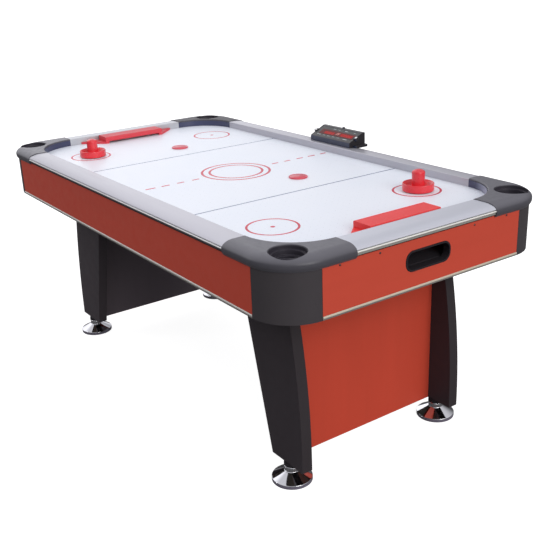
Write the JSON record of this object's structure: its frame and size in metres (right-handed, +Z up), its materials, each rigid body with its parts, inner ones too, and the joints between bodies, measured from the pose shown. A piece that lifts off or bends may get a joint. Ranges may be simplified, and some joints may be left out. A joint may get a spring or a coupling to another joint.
{
  "type": "air hockey table",
  "caption": "Full-size rectangular air hockey table on plank legs: railed playfield, corner cup holders, goals, puck returns, blower, scoreboard, mallets and pucks.",
  "frame": {"origin": "on the floor under the middle of the overall box; the cabinet centre plane is at y = -8.5 mm, because the scoreboard stands out past the back rail", "axes": "+X along the table towards the right end, +Y across it towards the scoreboard side, +Z up"},
  "size_m": [1.896, 1.023, 0.851],
  "materials": {
    "red_laminate": "red laminated board, semi-gloss",
    "silver": "satin silver rail extrusion",
    "trim_metal": "bright edge trim",
    "black_plastic": "satin moulded plastic",
    "cap_plastic": "satin moulded plastic with soft highlights",
    "black_laminate": "black laminated board",
    "white_surface": "white coated board, glossy, with red and blue printed rings and lines",
    "board": "raw board",
    "chrome": "mirror",
    "red_plastic": "gloss moulded plastic",
    "felt": "felt",
    "puck_red": "translucent-looking red plastic",
    "steel": "dark steel",
    "lens_red": "dark window over the display"
  },
  "bodies": {
    "table": {"air_chamber": "board", "apron_screw_left_1": "steel", "apron_screw_left_2": "steel", "apron_screw_left_3": "steel", "apron_screw_left_4": "steel", "apron_screw_right_1": "steel", "apron_screw_right_2": "steel", "apron_screw_right_3": "steel", "apron_screw_right_4": "steel", "blower_housing": "black_plastic", "blower_motor": "steel", "bottom_board": "board", "corner_cap_back_left": "cap_plastic", "corner_cap_back_right": "cap_plastic", "corner_cap_front_left": "cap_plastic", "corner_cap_front_right": "cap_plastic", "corner_post_back_left": "black_plastic", "corner_post_back_right": "black_plastic", "corner_post_front_left": "black_plastic", "corner_post_front_right": "black_plastic", "edge_trim_back": "trim_metal", "edge_trim_front": "trim_metal", "edge_trim_left": "trim_metal", "edge_trim_right": "trim_metal", "end_apron_left": "red_laminate", "end_apron_right": "red_laminate", "end_panel_left": "red_laminate", "end_panel_right": "red_laminate", "end_rail_left": "silver", "end_rail_right": "silver", "goal_cover_left": "red_plastic", "goal_cover_right": "red_plastic", "leg_back_left": "black_laminate", "leg_back_right": "black_laminate", "leg_front_left": "black_laminate", "leg_front_right": "black_laminate", "long_apron_back": "red_laminate", "long_apron_front": "red_laminate", "long_rail_back": "silver", "long_rail_front": "silver", "playfield_board": "white_surface", "power_panel": "black_plastic", "puck_return_box_left": "black_plastic", "puck_return_box_right": "black_plastic", "scoreboard_housing": "black_plastic", "scoreboard_lens": "lens_red"},
    "foot_front_right": {"levelling_foot_front_right": "chrome"},
    "foot_front_left": {"levelling_foot_front_left": "chrome"},
    "foot_back_right": {"levelling_foot_back_right": "chrome"},
    "foot_back_left": {"levelling_foot_back_left": "chrome"},
    "impeller": {"blower_impeller": "black_plastic"},
    "start_button": {"scoreboard_button": "black_plastic"},
    "power_switch": {"power_rocker": "red_plastic"},
    "mallet_right": {"mallet_right": "red_plastic", "mallet_felt_right": "felt"},
    "mallet_left": {"mallet_left": "red_plastic", "mallet_felt_left": "felt"},
    "puck_1": {"puck_1": "puck_red"},
    "puck_2": {"puck_2": "puck_red"}
  },
  "joints": [
    {"name": "foot_thread_front_right", "type": "slide", "parent": "table", "child": "foot_front_right", "axis": [0, 0, 1], "range_m": [-0.02, 0]},
    {"name": "foot_thread_front_left", "type": "slide", "parent": "table", "child": "foot_front_left", "axis": [0, 0, 1], "range_m": [-0.02, 0]},
    {"name": "foot_thread_back_right", "type": "slide", "parent": "table", "child": "foot_back_right", "axis": [0, 0, 1], "range_m": [-0.02, 0]},
    {"name": "foot_thread_back_left", "type": "slide", "parent": "table", "child": "foot_back_left", "axis": [0, 0, 1], "range_m": [-0.02, 0]},
    {"name": "impeller_spin", "type": "hinge", "parent": "table", "child": "impeller", "pos_m": [0, -0.0085, 0.66], "axis": [0, 0, 1], "continuous": true},
    {"name": "start_button_press", "type": "slide", "parent": "table", "child": "start_button", "axis": [0, 0, -1], "range_m": [0, 0.0015], "stiffness_N_per_m": 400},
    {"name": "power_switch_rock", "type": "hinge", "parent": "table", "child": "power_switch", "pos_m": [0.585, 0.4893, 0.7], "axis": [0, 0, 1], "range_deg": [0, 16]},
    {"name": "mallet_right_glide", "type": "slide", "parent": "table", "child": "mallet_right", "axis": [1, 0, 0], "range_m": [-0.52, 0.18]},
    {"name": "mallet_left_glide", "type": "slide", "parent": "table", "child": "mallet_left", "axis": [1, 0, 0], "range_m": [-0.19, 0.52]},
    {"name": "puck_1_glide", "type": "slide", "parent": "table", "child": "puck_1", "axis": [1, 0, 0], "range_m": [-0.52, 0.5]},
    {"name": "puck_2_glide", "type": "slide", "parent": "table", "child": "puck_2", "axis": [1, 0, 0], "range_m": [-0.3, 0.118]}
  ]
}
